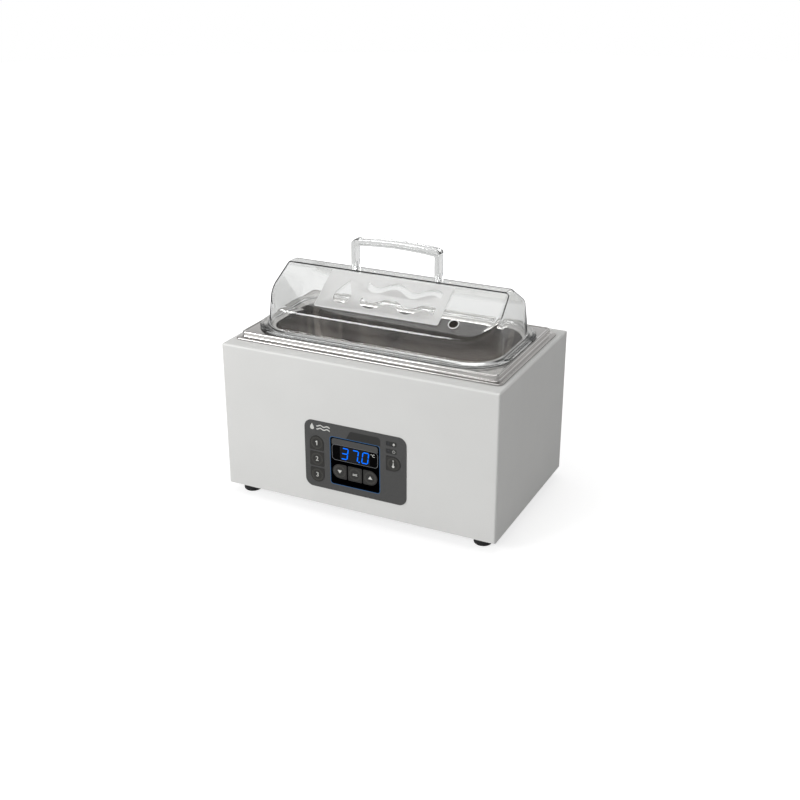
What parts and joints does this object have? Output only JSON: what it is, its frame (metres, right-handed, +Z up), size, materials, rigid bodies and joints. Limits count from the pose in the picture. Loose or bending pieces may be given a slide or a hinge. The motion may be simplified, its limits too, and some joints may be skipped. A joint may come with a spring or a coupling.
{
  "type": "water bath",
  "caption": "Unstirred laboratory water bath: stainless tank in a folded steel case with feet, a front key panel and display, and a clear gabled lift-off lid.",
  "frame": {"origin": "on the bench under the middle of the case, at the height of the feet's soles", "axes": "+Z up, +X to the user's right, and the front panel faces -Y"},
  "size_m": [0.338, 0.2141, 0.2993],
  "materials": {
    "case_paint": "powder coat",
    "plated_steel": "zinc plated",
    "screw_steel": "plated",
    "rubber_black": "moulded",
    "tank_steel": "brushed inside, bright rim",
    "tray_steel": "brushed",
    "gasket_rubber": "matt",
    "insulation": "glass fibre felt",
    "heater_silicone": "silicone",
    "black_plastic": "moulded",
    "inlet_plastic": "moulded",
    "brass": "plated",
    "overlay_grey": "fine textured film",
    "window_smoke": "polished smoked acrylic",
    "led_blue": "lit",
    "light_pipe": "smoked",
    "board_green": "solder mask",
    "white_plastic": "moulded",
    "key_grey": "textured",
    "fuse_glass": "clear with metal caps",
    "rocker_green": "translucent",
    "wire_brown": "PVC",
    "wire_red": "silicone sleeve",
    "wire_white": "PVC",
    "wire_green": "PVC",
    "lid_clear": "clear polycarbonate",
    "handle_clear": "clear acrylic"
  },
  "bodies": {
    "bath": {"outer_case": "case_paint", "rear_panel": "case_paint", "base_plate": "plated_steel", "case_screws": "screw_steel", "foot_front_left": "rubber_black", "foot_front_right": "rubber_black", "foot_rear_left": "rubber_black", "foot_rear_right": "rubber_black", "foot_screws": "screw_steel", "tank": "tank_steel", "tank_gasket": "gasket_rubber", "tank_studs": "screw_steel", "tank_nuts": "screw_steel", "insulation_wrap": "insulation", "insulation_pad": "insulation", "heater_mat": "heater_silicone", "heater_plate": "plated_steel", "temperature_probe": "tank_steel", "probe_clip": "plated_steel", "overheat_cutout": "black_plastic", "earth_stud": "brass", "control_overlay": "overlay_grey", "key_bezel": "black_plastic", "display_window": "window_smoke", "led_display": "black_plastic", "lit_segments": "led_blue", "status_lights": "light_pipe", "control_board": "board_green", "board_spacers": "white_plastic", "board_parts": "black_plastic", "key_switches": "black_plastic", "transformer": "black_plastic", "triac": "black_plastic", "heat_sink": "plated_steel", "terminal_block": "white_plastic", "mains_inlet": "inlet_plastic", "inlet_pins": "brass", "switch_housing": "black_plastic", "inlet_screws": "screw_steel", "mains_leads": "wire_brown", "heater_leads": "wire_red", "sensor_leads": "wire_white", "board_leads": "wire_white", "earth_lead": "wire_green"},
    "lid": {"lid_shell": "lid_clear", "lid_handle": "handle_clear", "lid_handle_screws": "screw_steel"},
    "tray": {"base_tray": "tray_steel"},
    "rocker": {"switch_rocker": "rocker_green"},
    "drawer": {"fuse_drawer": "inlet_plastic", "fuses": "fuse_glass"},
    "key_one": {"key_one": "key_grey"},
    "key_two": {"key_two": "key_grey"},
    "key_three": {"key_three": "key_grey"},
    "key_down": {"key_down": "key_grey"},
    "key_set": {"key_set": "key_grey"},
    "key_up": {"key_up": "key_grey"},
    "key_probe": {"key_probe": "key_grey"}
  },
  "joints": [
    {"name": "lid_lift", "type": "slide", "parent": "bath", "child": "lid", "axis": [0, 0, 1], "range_m": [0, 0.16]},
    {"name": "tray_lift", "type": "slide", "parent": "bath", "child": "tray", "axis": [0, 0, 1], "range_m": [0, 0.12]},
    {"name": "key_one_press", "type": "slide", "parent": "bath", "child": "key_one", "axis": [0, 1, 0], "range_m": [0, 0.0005], "stiffness_N_per_m": 3000},
    {"name": "key_two_press", "type": "slide", "parent": "bath", "child": "key_two", "axis": [0, 1, 0], "range_m": [0, 0.0005], "stiffness_N_per_m": 3000},
    {"name": "key_three_press", "type": "slide", "parent": "bath", "child": "key_three", "axis": [0, 1, 0], "range_m": [0, 0.0005], "stiffness_N_per_m": 3000},
    {"name": "key_down_press", "type": "slide", "parent": "bath", "child": "key_down", "axis": [0, 1, 0], "range_m": [0, 0.0005], "stiffness_N_per_m": 3000},
    {"name": "key_set_press", "type": "slide", "parent": "bath", "child": "key_set", "axis": [0, 1, 0], "range_m": [0, 0.0005], "stiffness_N_per_m": 3000},
    {"name": "key_up_press", "type": "slide", "parent": "bath", "child": "key_up", "axis": [0, 1, 0], "range_m": [0, 0.0005], "stiffness_N_per_m": 3000},
    {"name": "key_probe_press", "type": "slide", "parent": "bath", "child": "key_probe", "axis": [0, 1, 0], "range_m": [0, 0.0005], "stiffness_N_per_m": 3000},
    {"name": "power_switch", "type": "hinge", "parent": "bath", "child": "rocker", "pos_m": [0.078, 0.0989, 0.05], "axis": [-1, 0, 0], "range_deg": [0, 16]},
    {"name": "fuse_drawer_slide", "type": "slide", "parent": "bath", "child": "drawer", "axis": [0, 1, 0], "range_m": [0, 0.015]}
  ]
}
